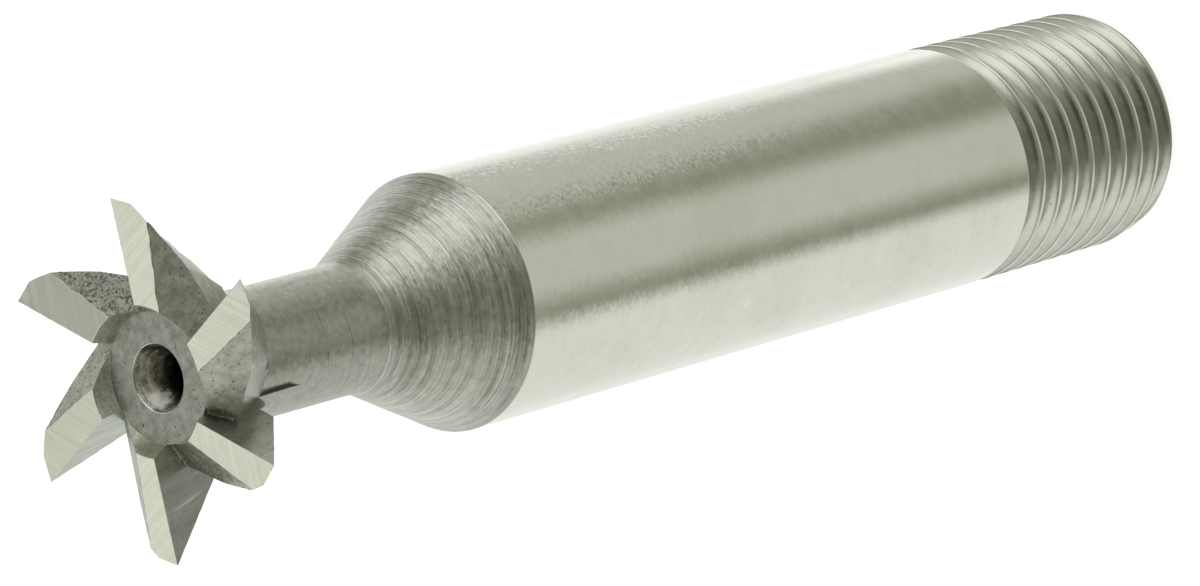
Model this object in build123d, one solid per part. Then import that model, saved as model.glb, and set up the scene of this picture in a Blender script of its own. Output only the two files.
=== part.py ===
# Dovetail cutter with a screwed shank: one piece of high-speed steel.
# All lengths are in millimetres and +Z is up.
# The cutter stands on the flat end of its shank with the six teeth at the top.
# The origin is the centre of that flat end and the axis of rotation is Z.
# Seen from above, the cutter turns counter-clockwise when it cuts.

import math
import os

from build123d import *

os.makedirs("parts", exist_ok=True)

# Driving dimensions: shank, shoulder cone and neck, depths measured down from the tooth tips
overall_length = 67.4
shank_radius = 6.0
neck_radius = 2.96
shoulder_depth = 18.8
neck_end_depth = 12.6
neck_blend_radius = 4.0
end_chamfer = 0.5

# Driving dimensions: toothed head
tooth_count = 6
tip_radius = 8.15
head_depth = 3.55
head_fillet = 0.8
hub_depth = 0.88
recess_top_radius = 3.4
grinding_stock = 0.12

# Driving dimensions: one tooth, measured back from its cutting edge and in from its tip
radial_rake_deg = 3.0
land_clearance_deg = 3.0
heel_angle_deg = 37.5
flank_land_end = (1.15, 0.38)
flank_arc_middle = (2.05, 1.47)
flank_arc_end = (2.83, 2.79)
flank_tail_end = (4.2, 5.6)

# The side gash wall is a plane: a point of it and its direction, back, out and down
gash_wall_point = (3.70, 2.03, 1.63)
gash_wall_facing = (0.841, 0.339, 0.422)

# The ground lands differ a little from tooth to tooth, widths near the hub and near the tip
land_widths = [
    (1.20, 1.55),
    (1.40, 1.90),
    (1.55, 2.10),
    (1.35, 1.90),
    (1.12, 1.50),
    (1.10, 1.65),
]
land_inner_run = 5.1
land_outer_run = 1.0

# Driving dimensions: run-out groove that each gash leaves on the neck
groove_radius = 2.79
groove_straight_ends = [6.2, 4.9, 5.8, 6.0, 5.6, 6.1]
groove_run_out = 0.8
groove_skew = 0.12
groove_wall_deg = 66.0
groove_height = 1.6

# Driving dimensions: centre holes
head_hole_radius = 1.55
head_pilot_radius = 0.65
head_pilot_depth = 3.6
shank_hole_radius = 1.6
shank_pilot_radius = 0.8
shank_pilot_depth = 3.8
centre_cone_half_deg = 30.0

# Driving dimensions: screw thread at the end of the shank, 19 turns per inch, 55 degree form
# Its crests are turned a little under the ground shank, so that a collet slides over them
thread_pitch = 25.4 / 19.0
thread_length = 12.9
thread_run_out = 0.59
thread_end_deg = 120.0
thread_angle_deg = 55.0
thread_groove_width = 1.0
crest_relief = 0.05

# How far the cutting tools reach past what they cut
top = overall_length
spare_length = 3.0
lift = 2.0
spread = 3.0
tool_depth = 9.0
beyond = 2.0 * tip_radius


def height(depth):
    return top - depth


# Core: hub, neck, shoulder cone and shank turned about Z as one profile
cone_angle = math.atan2(shank_radius - neck_radius, shoulder_depth - neck_end_depth)
spare_radius = shank_radius - crest_relief * (1.0 + spare_length / thread_length)
blend_tangent = neck_blend_radius * math.tan(cone_angle / 2.0)
blend_start = (neck_radius, height(neck_end_depth - blend_tangent))
blend_end = (
    neck_radius + blend_tangent * math.sin(cone_angle),
    height(neck_end_depth + blend_tangent * math.cos(cone_angle)),
)

with BuildPart() as core:
    with BuildSketch(Plane.XZ):
        with BuildLine():
            Polyline(
                (0, -spare_length),
                (spare_radius, -spare_length),
                (shank_radius, thread_length),
                (shank_radius, height(shoulder_depth)),
                blend_end,
            )
            TangentArc(
                blend_end,
                blend_start,
                tangent=(-math.sin(cone_angle), math.cos(cone_angle)),
            )
            Polyline(
                blend_start,
                (neck_radius, height(hub_depth)),
                (0, height(hub_depth)),
                (0, -spare_length),
            )
        make_face()
    revolve(axis=Axis.Z)

# Head before the gashes: a short dovetail cone with the front recess and a filleted back
blank_radius = tip_radius + grinding_stock
back_radius = blank_radius - head_depth
inner_radius = neck_radius - 0.4
with BuildPart() as head:
    with BuildSketch(Plane.XZ):
        with BuildLine():
            Polyline(
                (inner_radius, height(head_depth + head_fillet)),
                (inner_radius, height(hub_depth)),
                (neck_radius, height(hub_depth)),
                (recess_top_radius, height(0)),
                (blank_radius, height(0)),
                (back_radius, height(head_depth)),
                (neck_radius + head_fillet, height(head_depth)),
            )
            RadiusArc(
                (neck_radius + head_fillet, height(head_depth)),
                (neck_radius, height(head_depth + head_fillet)),
                head_fillet,
            )
            Line(
                (neck_radius, height(head_depth + head_fillet)),
                (inner_radius, height(head_depth + head_fillet)),
            )
        make_face()
    revolve(axis=Axis.Z)

# Directions of the tooth whose tip lies on +X: in along the cutting edge, and back from it
rake = math.radians(radial_rake_deg)
edge_inward = Vector(-math.cos(rake), -math.sin(rake), 0)
edge_back = Vector(-edge_inward.Y, edge_inward.X, 0)
tip = Vector(tip_radius, 0, top)


def from_tip(back, inward, depth=0.0):
    point = tip + edge_back * back + edge_inward * inward
    return Vector(point.X, point.Y, height(depth))


# Flank relief: the outline seen from above, drawn down along the 45 degree cutting edge
land_slope = flank_land_end[1] / flank_land_end[0]
flank_lead = 1.0
flank_lines = [
    Polyline(
        from_tip(-flank_lead, -flank_lead * land_slope, -lift),
        from_tip(*flank_land_end, -lift),
    ),
    ThreePointArc(
        from_tip(*flank_land_end, -lift),
        from_tip(*flank_arc_middle, -lift),
        from_tip(*flank_arc_end, -lift),
    ),
    Polyline(
        from_tip(*flank_arc_end, -lift),
        from_tip(*flank_tail_end, -lift),
        from_tip(beyond, flank_tail_end[1], -lift),
        from_tip(beyond, -beyond, -lift),
        from_tip(-flank_lead, -beyond, -lift),
        from_tip(-flank_lead, -flank_lead * land_slope, -lift),
    ),
]
flank_run = edge_inward + Vector(0, 0, -1)
flank_face = make_face(flank_lines).moved(Location(edge_inward * -lift))
flank_amount = (tool_depth + lift) * flank_run.length
flank_tool = extrude(flank_face, amount=flank_amount, dir=flank_run)

# Side gash wall: everything beyond its plane goes
wall_back, wall_out, wall_down = gash_wall_point
wall_plane = Plane(
    origin=(wall_out, -wall_back, height(wall_down)),
    z_dir=(gash_wall_facing[1], -gash_wall_facing[0], -gash_wall_facing[2]),
)
wall_size = 2.0 * beyond
wall_align = (Align.CENTER, Align.CENTER, Align.MIN)
wall_tool = wall_plane * Box(wall_size, wall_size, beyond, align=wall_align)
side_tool = flank_tool + wall_tool

# End clearance of the land, a shallow wedge that opens behind the cutting edge
clearance = math.tan(math.radians(land_clearance_deg))
clearance_plane = Plane(
    origin=tip - edge_inward * spread,
    x_dir=edge_back,
    z_dir=edge_inward,
)
clearance_face = clearance_plane * make_face(
    Polyline((0, 0), (beyond, -beyond * clearance), (beyond, lift), (0, lift), close=True)
)
clearance_tool = extrude(clearance_face, amount=beyond, dir=edge_inward)

# The room in front of the next cutting face
tooth_step = 360.0 / tooth_count
room_plane = Plane(
    origin=Vector(tip_radius, 0, 0) - edge_inward * spread,
    x_dir=edge_back,
    z_dir=edge_inward,
)
room_face = room_plane * make_face(
    Polyline(
        (0, height(tool_depth)),
        (-beyond, height(tool_depth)),
        (-beyond, height(-lift)),
        (0, height(-lift)),
        close=True,
    )
)
room = extrude(room_face, amount=beyond + spread, dir=edge_inward).rotate(Axis.Z, -tooth_step)


def heel_tool(inner_width, outer_width):
    # The heel wall falls away behind the land of one tooth
    inner_end = from_tip(inner_width, land_inner_run, inner_width * clearance)
    outer_end = from_tip(outer_width, land_outer_run, outer_width * clearance)
    run = (inner_end - outer_end).normalized()
    sideways = Vector(-run.Y, run.X, 0).normalized()
    plane = Plane(origin=outer_end - run * spread, x_dir=sideways, z_dir=run)
    drop = beyond * math.tan(math.radians(heel_angle_deg))
    corners = Polyline((0, 0), (beyond, -drop), (beyond, lift), (0, lift), close=True)
    return extrude(plane * make_face(corners), amount=beyond, dir=run)


# The groove where the gash wheel ran out along the neck, in front of a cutting face
rake_offset = tip_radius * math.sin(rake)
rake_foot = Vector(tip_radius, 0, 0) + edge_inward * (tip_radius * math.cos(rake))


def on_rake(radius, depth):
    along = math.sqrt(radius * radius - rake_offset * rake_offset)
    point = rake_foot - edge_inward * along
    return Vector(point.X, point.Y, height(depth))


outward = edge_inward * -1.0
groove_side = outward.rotate(Axis.Z, groove_wall_deg)


def groove_piece(first_root, last_root):
    run = last_root - first_root
    face = make_face(
        Polyline(
            first_root,
            first_root + outward * groove_height,
            first_root + groove_side * groove_height,
            close=True,
        )
    )
    return extrude(face, amount=run.length, dir=run)


def run_out_groove(straight_end):
    ahead = edge_back * -groove_skew
    first = on_rake(groove_radius, head_depth - 1.0)
    middle = on_rake(groove_radius, straight_end) + ahead
    last = on_rake(neck_radius + 0.04, straight_end + groove_run_out) + ahead
    tool = groove_piece(first, middle) + groove_piece(middle, last)
    return tool.rotate(Axis.Z, -tooth_step) & side_tool


# Cut the six gashes, join the head to the core and cut the run-out grooves
toothed = head.part
for number in range(tooth_count):
    gash = (side_tool + clearance_tool + heel_tool(*land_widths[number])) & room
    toothed = toothed - gash.rotate(Axis.Z, number * tooth_step)

body = core.part + toothed
for number in range(tooth_count):
    groove = run_out_groove(groove_straight_ends[number])
    body = body - groove.rotate(Axis.Z, number * tooth_step)

# Centre holes: a cone that opens a plain drilled pilot
slope = math.tan(math.radians(centre_cone_half_deg))


def centre_hole(mouth_radius, pilot_radius, pilot_depth):
    cone_depth = (mouth_radius - pilot_radius) / slope
    drill_point = pilot_radius * math.tan(math.radians(31.0))
    with BuildPart() as tool:
        with BuildSketch(Plane.XZ):
            with BuildLine():
                Polyline(
                    (0, 0.5),
                    (mouth_radius + 0.5 * slope, 0.5),
                    (pilot_radius, -cone_depth),
                    (pilot_radius, -pilot_depth),
                    (0, -pilot_depth - drill_point),
                    (0, 0.5),
                )
            make_face()
        revolve(axis=Axis.Z)
    return tool.part


head_hole = centre_hole(head_hole_radius, head_pilot_radius, head_pilot_depth)
body = body - head_hole.moved(Location((0, 0, height(hub_depth))))

# Screw thread: a right-hand groove with a sharp root, swept along a helix
clear = 0.06
thread_flank = math.tan(math.radians(thread_angle_deg / 2.0))
thread_depth = thread_groove_width / 2.0 / thread_flank
half_mouth = thread_flank * (thread_depth + clear)
helix_bottom = -1.5 * thread_pitch
helix_rise = thread_length - thread_run_out - helix_bottom
helix = Helix(
    pitch=thread_pitch,
    height=helix_rise,
    radius=shank_radius,
    center=(0, 0, helix_bottom),
)
groove_profile = Plane(origin=helix @ 0, x_dir=(1, 0, 0), z_dir=helix % 0) * make_face(
    Polyline(
        (clear, -half_mouth),
        (clear, half_mouth),
        (-thread_depth, 0),
        close=True,
    )
)
thread_tool = sweep(groove_profile, path=helix, is_frenet=True)
thread_turn = helix_rise / thread_pitch * 360.0
thread_tool = thread_tool.rotate(Axis.Z, thread_end_deg - thread_turn)
body = body - thread_tool

# The end of the shank is faced off and chamfered after the thread
with BuildPart() as facing:
    with BuildSketch(Plane.XZ):
        with BuildLine():
            Polyline(
                (0, -spare_length - 1.0),
                (shank_radius + 1.0, -spare_length - 1.0),
                (shank_radius + 1.0, end_chamfer + 1.0),
                (shank_radius - end_chamfer, 0),
                (0, 0),
                (0, -spare_length - 1.0),
            )
        make_face()
    revolve(axis=Axis.Z)
body = body - facing.part

shank_hole = centre_hole(shank_hole_radius, shank_pilot_radius, shank_pilot_depth)
body = body - shank_hole.rotate(Axis.X, 180)

solid = body.solids()[0]
print("solids", len(body.solids()), "valid", solid.is_valid, "volume", solid.volume)
print("box", solid.bounding_box())
export_step(solid, "parts/dovetail_cutter.step")
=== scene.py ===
# Dovetail cutter: the finish of the steel, the light and the camera of the photograph
# Lengths in the dictionaries are millimetres where no unit is given, angles are degrees
import math

import bmesh
import bpy
import mathutils
import numpy as np
from mathutils import Matrix, Vector


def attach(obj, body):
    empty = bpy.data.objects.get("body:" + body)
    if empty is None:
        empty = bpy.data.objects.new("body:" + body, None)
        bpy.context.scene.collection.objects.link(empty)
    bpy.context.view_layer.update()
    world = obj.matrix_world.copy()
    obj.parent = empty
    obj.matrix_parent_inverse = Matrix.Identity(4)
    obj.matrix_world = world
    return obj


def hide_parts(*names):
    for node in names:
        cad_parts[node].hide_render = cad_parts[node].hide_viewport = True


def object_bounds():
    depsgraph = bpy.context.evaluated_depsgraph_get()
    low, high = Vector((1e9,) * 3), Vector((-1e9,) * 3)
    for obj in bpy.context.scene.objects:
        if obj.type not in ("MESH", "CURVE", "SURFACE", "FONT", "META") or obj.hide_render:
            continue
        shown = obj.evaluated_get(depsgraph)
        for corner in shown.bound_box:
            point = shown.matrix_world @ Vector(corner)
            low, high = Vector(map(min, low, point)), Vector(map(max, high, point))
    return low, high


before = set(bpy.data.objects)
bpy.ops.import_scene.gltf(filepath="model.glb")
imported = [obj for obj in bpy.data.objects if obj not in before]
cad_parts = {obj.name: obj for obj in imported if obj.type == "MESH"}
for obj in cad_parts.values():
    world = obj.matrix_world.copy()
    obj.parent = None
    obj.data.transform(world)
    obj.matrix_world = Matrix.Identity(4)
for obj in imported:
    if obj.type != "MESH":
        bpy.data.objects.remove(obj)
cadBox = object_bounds()
print("frame loaded")

scene = bpy.context.scene
mm = 0.001
cutterHeight = cadBox[1][2] / mm
cutterNode = "dovetail_cutter"
toothCount = 6
toothAngle = 360.0 / toothCount

# Where the camera of the photograph stood, as seen from the cutter
photoCamera = {
    "lens": 195.53,
    "sensor": 36.0,
    "aim": (-0.598, -1.435, 37.98),
    "distance": 304.08,
    "azimuth": -22.638,
    "elevation": 46.924,
    "roll": 105.5,
}


def direction(azimuth, elevation):
    a = math.radians(azimuth)
    e = math.radians(elevation)
    return Vector((math.cos(a) * math.cos(e), math.sin(a) * math.cos(e), math.sin(e)))


def placeCamera(setup):
    back = direction(setup["azimuth"], setup["elevation"])
    data = bpy.data.cameras.new("photoCamera")
    data.lens = setup["lens"]
    data.sensor_width = setup["sensor"]
    data.sensor_fit = "HORIZONTAL"
    data.clip_start = 0.01
    data.clip_end = 10.0
    camera = bpy.data.objects.new("photoCamera", data)
    scene.collection.objects.link(camera)
    level = (-back).to_track_quat("-Z", "Y").to_matrix()
    roll = Matrix.Rotation(math.radians(-setup["roll"]), 3, "Z")
    camera.rotation_mode = "QUATERNION"
    camera.rotation_quaternion = (level @ roll).to_quaternion()
    camera.location = (Vector(setup["aim"]) + back * setup["distance"]) * mm
    scene.camera = camera


placeCamera(photoCamera)
print("camera placed")

# The turned and ground body below the head, heights from the flat end of the shank
bodyShape = {
    "segments": 168,
    "joinHeight": 60.3,
    "neckRadius": 2.96,
    "neckEnd": 54.8,
    "neckBlend": 4.0,
    "shoulderHeight": 48.6,
    "coneAngle": 26.1,
    "shankRadius": 6.0,
    "shoulderRounding": 0.07,
    "threadTop": 12.9,
    "endRadius": 5.95,
    "chamfer": 0.45,
    "endRounding": 0.05,
    "holeRadius": 1.6,
    "pilotRadius": 0.8,
    "holeDepth": 1.386,
    "pilotDepth": 3.8,
    "drillPoint": 0.48,
    "arcSpacing": 0.12,
    "guardSpacing": 0.03,
}

# The screw thread, a right-hand helix that runs out into the shank
threadShape = {
    "pitch": 25.4 / 19.0,
    "lastHeight": 12.31,
    "lastAngle": 120.0,
    "mouth": 1.1,
    "flankAngle": 27.5,
    "rootRounding": 0.05,
    "crestRounding": 0.06,
    "runOut": 26.0,
    "reach": 0.2,  # how far above its top the groove may still cut
    "rowsPerTurn": 24,
    "rowMargins": (0.06, 0.08),  # from the top and the bottom to the straight rows beside it
    "joinShare": 0.35,  # of a row: one that comes this close to a straight one joins it
    "uncutAbove": 11.3,
    "uncutRadius": 5.965,
}

# The tool marks that are real relief: rings on the shoulder cone and faint ones on the neck
turningMarks = {
    "seed": 7,
    "tableLength": 211,
    "coneStart": (-0.9, 0.3),  # down the slope from the neck
    "coneDepth": 0.034,
    "coneSpacing": 0.23,
    "coneFine": 0.12,
    "coneMix": (0.5, 0.3, 0.45, 0.6),  # coarse rings, fine rings, scallops, level taken off
    "phase": 6.28,  # how far the swell of a ring wanders round, in radians
    "phaseSpacing": (0.25, 0.21),
    "swell": (0.62, 0.3, 0.2),  # level, three waves a turn, seven waves a turn
    "drift": (0.035, 0.02),  # one wave a turn, four waves a turn
    "smoothBand": 0.95,
    "smoothShare": 0.8,
    "softEdge": 0.12,
    "margin": 0.02,
    "fineRings": (0.92, 1.10),
    "fineRingDepth": 0.010,
    "fineRingWidth": 0.04,
    "neckStart": 0.5,
    "neckDepth": 0.0022,
    "neckSpacing": 0.12,
}


def smoothStep(low, high, x):
    t = np.clip((x - low) / (high - low), 0.0, 1.0)
    return t * t * (3.0 - 2.0 * t)


def ringNoise(x, table):
    # One value per ring number, eased between neighbours
    base = np.floor(x)
    t = x - base
    t = t * t * (3.0 - 2.0 * t)
    n = len(table)
    first = table[base.astype(int) % n]
    second = table[(base.astype(int) + 1) % n]
    return first + (second - first) * t


def roundedCorner(corners, i):
    # Both ends of the arc at a corner and its centre, or the corner itself where it is sharp
    z, r, rounding = corners[i]
    here = np.array([z, r])
    if rounding == 0.0:
        return here, here, None
    before = np.array(corners[i - 1][:2]) - here
    after = np.array(corners[i + 1][:2]) - here
    before /= np.linalg.norm(before)
    after /= np.linalg.norm(after)
    half = 0.5 * math.acos(np.clip(before @ after, -1.0, 1.0))
    tangent = rounding / math.tan(half)
    middle = (before + after) / np.linalg.norm(before + after)
    centre = here + middle * rounding / math.sin(half)
    return here + before * tangent, here + after * tangent, centre


def arcPoints(start, finish, centre):
    a = start - centre
    b = finish - centre
    sweepAngle = math.acos(np.clip(a @ b / (np.linalg.norm(a) * np.linalg.norm(b)), -1, 1))
    side = np.sign(a[0] * b[1] - a[1] * b[0])
    steps = max(3, int(np.linalg.norm(a) * sweepAngle / bodyShape["arcSpacing"]))
    points = []
    for k in range(steps):
        t = side * sweepAngle * k / steps
        turned = (a[0] * math.cos(t) - a[1] * math.sin(t), a[0] * math.sin(t) + a[1] * math.cos(t))
        points.append(centre + np.array(turned))
    return points


def runStations(length, spacing):
    # Even stations along a straight run, with one more close to each end to keep its corners crisp
    steps = max(1, int(math.ceil(length / spacing)))
    if steps == 1:
        return [0.0]
    guard = min(bodyShape["guardSpacing"], length / 4.0)
    even = [length * k / steps for k in range(1, steps)]
    inner = [s for s in even if guard < s < length - guard]
    return [0.0, guard] + inner + [length - guard]


def meridian(corners, spacings):
    # Points as height and radius along an outline with rounded corners
    points = []
    ends = [roundedCorner(corners, i) for i in range(len(corners))]
    for i, (start, finish, centre) in enumerate(ends[:-1]):
        if centre is not None:
            points += arcPoints(start, finish, centre)
        run = ends[i + 1][0] - finish
        length = np.linalg.norm(run)
        points += [finish + run * (s / length) for s in runStations(length, spacings[i])]
    points.append(ends[-1][1])
    return np.array(points)


def grooveDepth(z, angle):
    # Depth of the thread below its crest at a height and an angle, both as arrays
    shape = threadShape
    behind = (shape["lastAngle"] - angle) % 360.0
    turns = (z - shape["lastHeight"]) / shape["pitch"] + behind / 360.0
    nearest = np.minimum(np.round(turns), 0.0)
    offset = (turns - nearest) * shape["pitch"]
    slope = 1.0 / math.tan(math.radians(shape["flankAngle"]))
    root = shape["rootRounding"]
    crest = shape["crestRounding"]
    raw = (shape["mouth"] / 2.0 - np.sqrt(offset * offset + root * root)) * slope
    rounded = 0.5 * (raw + np.sqrt(raw * raw + crest * crest))
    depth = rounded - 0.25 * crest * crest / np.maximum(np.abs(raw), crest)
    fade = np.where(nearest == 0.0, smoothStep(0.0, shape["runOut"], behind), 1.0)
    return np.maximum(depth, 0.0) * fade


def turnedRelief(z, angle, tables):
    # Rings that the lathe tool left, strongest on the cone
    marks = turningMarks
    top = bodyShape["neckEnd"]
    low = bodyShape["shoulderHeight"]
    soft = marks["softEdge"]
    along = (top - z) / math.cos(math.radians(bodyShape["coneAngle"]))
    wave = np.radians(angle)
    onCone = smoothStep(*marks["coneStart"], along) * smoothStep(low, low + soft, z)
    smooth = smoothStep(low + marks["smoothBand"], low + marks["smoothBand"] - soft, z)
    rough = 1.0 - marks["smoothShare"] * smooth
    first, second = marks["phaseSpacing"]
    phase = marks["phase"] * ringNoise(along / first, tables[2])
    phase2 = marks["phase"] * ringNoise(along / second, tables[3])
    level, broad, narrow = marks["swell"]
    swell = level + broad * np.sin(3.0 * wave + 2.0 * phase) + narrow * np.sin(7.0 * wave + 3.0 * phase2)
    once, often = marks["drift"]
    drift = once * np.sin(wave + phase2) + often * np.sin(4.0 * wave + phase)
    place = (along + drift) / marks["coneSpacing"]
    coarse = ringNoise(place, tables[0])
    fine = ringNoise((along + drift) / marks["coneFine"], tables[1])
    scallop = 1.0 - np.abs(np.cos(np.pi * place))
    coarseShare, fineShare, scallopShare, takenOff = marks["coneMix"]
    profile = coarseShare * coarse + fineShare * fine + scallopShare * scallop - takenOff
    relief = onCone * rough * swell * marks["coneDepth"] * profile
    for ring in marks["fineRings"]:
        away = (z - low - ring) / marks["fineRingWidth"]
        relief -= marks["fineRingDepth"] * np.exp(-away * away)
    neck = ringNoise(z / marks["neckSpacing"], tables[4]) - 0.5
    onNeck = (1.0 - onCone) * smoothStep(low, low + marks["neckStart"], z)
    return relief + onNeck * marks["neckDepth"] * neck


def turnedBody():
    # Rows of the turned body from the neck down to the bottom of the hole in its end
    b = bodyShape
    corners = [  # height, radius, rounding
        (b["joinHeight"], b["neckRadius"], 0.0),
        (b["neckEnd"], b["neckRadius"], b["neckBlend"]),
        (b["shoulderHeight"], b["shankRadius"], b["shoulderRounding"]),
        (b["threadTop"], b["shankRadius"], 0.0),
        (b["chamfer"], b["endRadius"], b["endRounding"]),
        (0.0, b["endRadius"] - b["chamfer"], b["endRounding"]),
        (0.0, b["holeRadius"], b["endRounding"]),
        (b["holeDepth"], b["pilotRadius"], b["endRounding"]),
        (b["pilotDepth"], b["pilotRadius"], b["endRounding"]),
        (b["pilotDepth"] + b["drillPoint"], 0.0, 0.0),
    ]
    spacings = [0.12, 0.045, 1.8, 0.05, 0.15, 0.6, 0.3, 0.8, 0.3]  # from each corner to the next
    line = meridian(corners, spacings)
    return line[:-1], line[-1]


bodyLine, bodyTip = turnedBody()
lowestRow = int(np.argmin(bodyLine[:, 0]))
outsideRows = np.arange(len(bodyLine)) < lowestRow
print("outline rows", len(bodyLine))


def bodyGrid(line):
    rng = np.random.default_rng(turningMarks["seed"])
    tables = [rng.random(turningMarks["tableLength"]) for _ in range(5)]
    count = bodyShape["segments"]
    angles = np.arange(count) * 360.0 / count
    z = np.repeat(line[:, :1], count, axis=1)
    r = np.repeat(line[:, 1:], count, axis=1)
    a = np.repeat(angles[None, :], len(line), axis=0)
    threaded = outsideRows & (line[:, 0] < bodyShape["threadTop"] + threadShape["reach"])
    turned = outsideRows & (line[:, 0] > bodyShape["shoulderHeight"] + turningMarks["margin"])
    r = r - np.where(threaded[:, None], grooveDepth(z, a), 0.0)
    r = r + np.where(turned[:, None], turnedRelief(z, a, tables), 0.0)
    wave = np.radians(a)
    return np.stack([r * np.cos(wave), r * np.sin(wave), z], axis=-1)


bodyPoints = bodyGrid(bodyLine)
print("body grid", bodyPoints.shape)


def threadRows():
    # The straight rows between which the thread has rows of its own, that climb with the helix
    heights = np.where(outsideRows, bodyLine[:, 0], -1.0)
    above, below = threadShape["rowMargins"]
    first = int(np.argmin(np.abs(heights - bodyShape["threadTop"] - above)))
    last = int(np.argmin(np.abs(heights - bodyShape["chamfer"] - below)))
    return first, last


def threadPoint(z, angle):
    b = bodyShape
    share = (b["threadTop"] - z) / (b["threadTop"] - b["chamfer"])
    r = b["shankRadius"] + (b["endRadius"] - b["shankRadius"]) * np.clip(share, 0.0, 1.0)
    r -= float(grooveDepth(np.array(z), np.array(angle)))
    wave = math.radians(angle)
    return (r * math.cos(wave), r * math.sin(wave), z)


# Limits between the zones of the toothed head, as depths below the tips and distances from the
# axis, and what makes a face flat, an edge sharp and a facet part of the neck's wall
headZones = {
    "hubStart": 0.78,
    "hubRadius": 3.45,
    "recessEnd": 0.93,
    "recessRadius": 3.75,
    "boreRadius": 1.6,
    "neckStart": 3.35,
    "neckReach": 3.95,
    "wallRadius": 6.5,
    "flatArea": 1.0,
    "sharpAngle": 24.0,
    "facetError": 0.06,
    "wallSlope": 0.05,
    "wallDrop": 1.0,  # how far below the join a neck wall may lie
}

# How far up, or outward, a face looks at the limits between the kinds of faces
facing = {
    "flat": 0.9, "heel": 0.6, "level": 0.12, "under": -0.3, "steep": -0.5, "down": -0.95, "inward": -0.5,
}

# A zone's place in this list is the number of its material
zoneNames = [
    "land", "heel", "rake", "flank", "gashWall", "hub", "recess", "bore", "neck", "cone", "shank", "thread",
    "end", "edge", "burr",
]
zoneNumber = {name: number for number, name in enumerate(zoneNames)}
toothZones = ("land", "heel", "rake", "flank", "gashWall", "recess", "edge")


# Points this close become one, and faces that lean this little from each other too
headCleaning = {"distance": 0.0005, "angle": 0.6}


def headMesh():
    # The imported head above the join, with its flat faces whole
    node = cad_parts[cutterNode]
    bm = bmesh.new()
    bm.from_mesh(node.data)
    bmesh.ops.scale(bm, vec=(1 / mm, 1 / mm, 1 / mm), verts=bm.verts)
    bmesh.ops.remove_doubles(bm, verts=bm.verts, dist=headCleaning["distance"])
    geometry = bm.verts[:] + bm.edges[:] + bm.faces[:]
    bmesh.ops.bisect_plane(
        bm,
        geom=geometry,
        dist=headCleaning["distance"],
        plane_co=(0, 0, bodyShape["joinHeight"]),
        plane_no=(0, 0, -1),
        clear_outer=True,
    )
    lean = math.radians(headCleaning["angle"])
    bmesh.ops.dissolve_limit(bm, angle_limit=lean, verts=bm.verts[:], edges=bm.edges[:])
    print("head faces", len(bm.faces), "boundary", sum(e.is_boundary for e in bm.edges))
    return bm


def zoneOf(centre, normal):
    z = headZones
    depth = cutterHeight - centre.z
    radius = math.hypot(centre.x, centre.y)
    outward = 0.0
    if radius > 1e-6:
        outward = (normal.x * centre.x + normal.y * centre.y) / radius
    if radius < z["boreRadius"] and normal.z < facing["flat"]:
        return "bore"
    if normal.z > facing["flat"]:
        return "hub" if depth > z["hubStart"] and radius < z["hubRadius"] else "land"
    if depth < z["recessEnd"] and outward < facing["inward"] and radius < z["recessRadius"]:
        return "recess"
    if normal.z > facing["heel"]:
        return "heel"
    if normal.z < facing["down"] or (depth > z["neckStart"] and radius < z["neckReach"]):
        return "neck"
    if abs(normal.z) < facing["level"]:
        return "rake"
    if facing["steep"] < normal.z < facing["under"] and radius < z["wallRadius"]:
        return "gashWall"
    return "flank" if normal.z < facing["under"] else "rake"


# How far round from its cutting edge the middle of each face of a tooth lies, in degrees
toothLead = {
    "land": 10.0, "heel": 28.0, "flank": 7.0, "gashWall": 20.0, "rake": -6.0, "recess": 8.0, "edge": 8.0,
}


def toothOf(centre, zone):
    angle = math.degrees(math.atan2(centre.y, centre.x))
    return int(round((angle + toothLead[zone]) / toothAngle)) % toothCount


# The way the grinding wheel crossed each face, as parts along outward, sideways and up
wheelPaths = {
    "land": (math.cos(math.radians(57)), -math.sin(math.radians(57)), 0.0),
    "heel": (0.86, -0.42, -0.3),
    "rake": (-0.232, 0.0, -0.973),
    "flank": (0.75, 0.1, 0.65),
    "gashWall": (0.8, -0.3, 0.4),
    "recess": (0.0, 1.0, 0.0),
    "edge": (0.8, 0.0, 0.6),
}

# The flat map of a tooth: units per millimetre, and a shift that makes each tooth's marks its own
flatMap = {"scale": 0.1, "shift": (3.1, 1.7)}


def layFinish(bm, zone, tooth):
    # Flat map for each face of a tooth, with U along the wheel's path, and a wrapped one elsewhere
    uv = bm.loops.layers.uv.new("finish")
    scale = flatMap["scale"]
    alongShift, acrossShift = flatMap["shift"]
    for face in bm.faces:
        name = zoneNames[face[zone]]
        if name not in toothZones:
            for loop in face.loops:
                p = loop.vert.co
                loop[uv].uv = (math.atan2(p.y, p.x) * scale, p.z * scale)
            continue
        k = face[tooth]
        turn = math.radians(toothAngle * k)
        outward = Vector((math.cos(turn), math.sin(turn), 0.0))
        sideways = Vector((-math.sin(turn), math.cos(turn), 0.0))
        a, b, c = wheelPaths[name]
        path = outward * a + sideways * b + Vector((0, 0, c))
        path -= face.normal * path.dot(face.normal)
        if path.length < 1e-4:
            path = outward.cross(face.normal)
        path.normalize()
        across = face.normal.cross(path)
        for loop in face.loops:
            p = loop.vert.co
            loop[uv].uv = (scale * p.dot(path) + alongShift * k, scale * p.dot(across) + acrossShift * k)


# The worn flat along the sharp ground edges: width, and the angle from which an edge has one
edgeWear = {"width": 0.02, "angle": 32.0}


def zonesBeside(e, zone):
    return {zoneNames[f[zone]] for f in e.link_faces}


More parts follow.
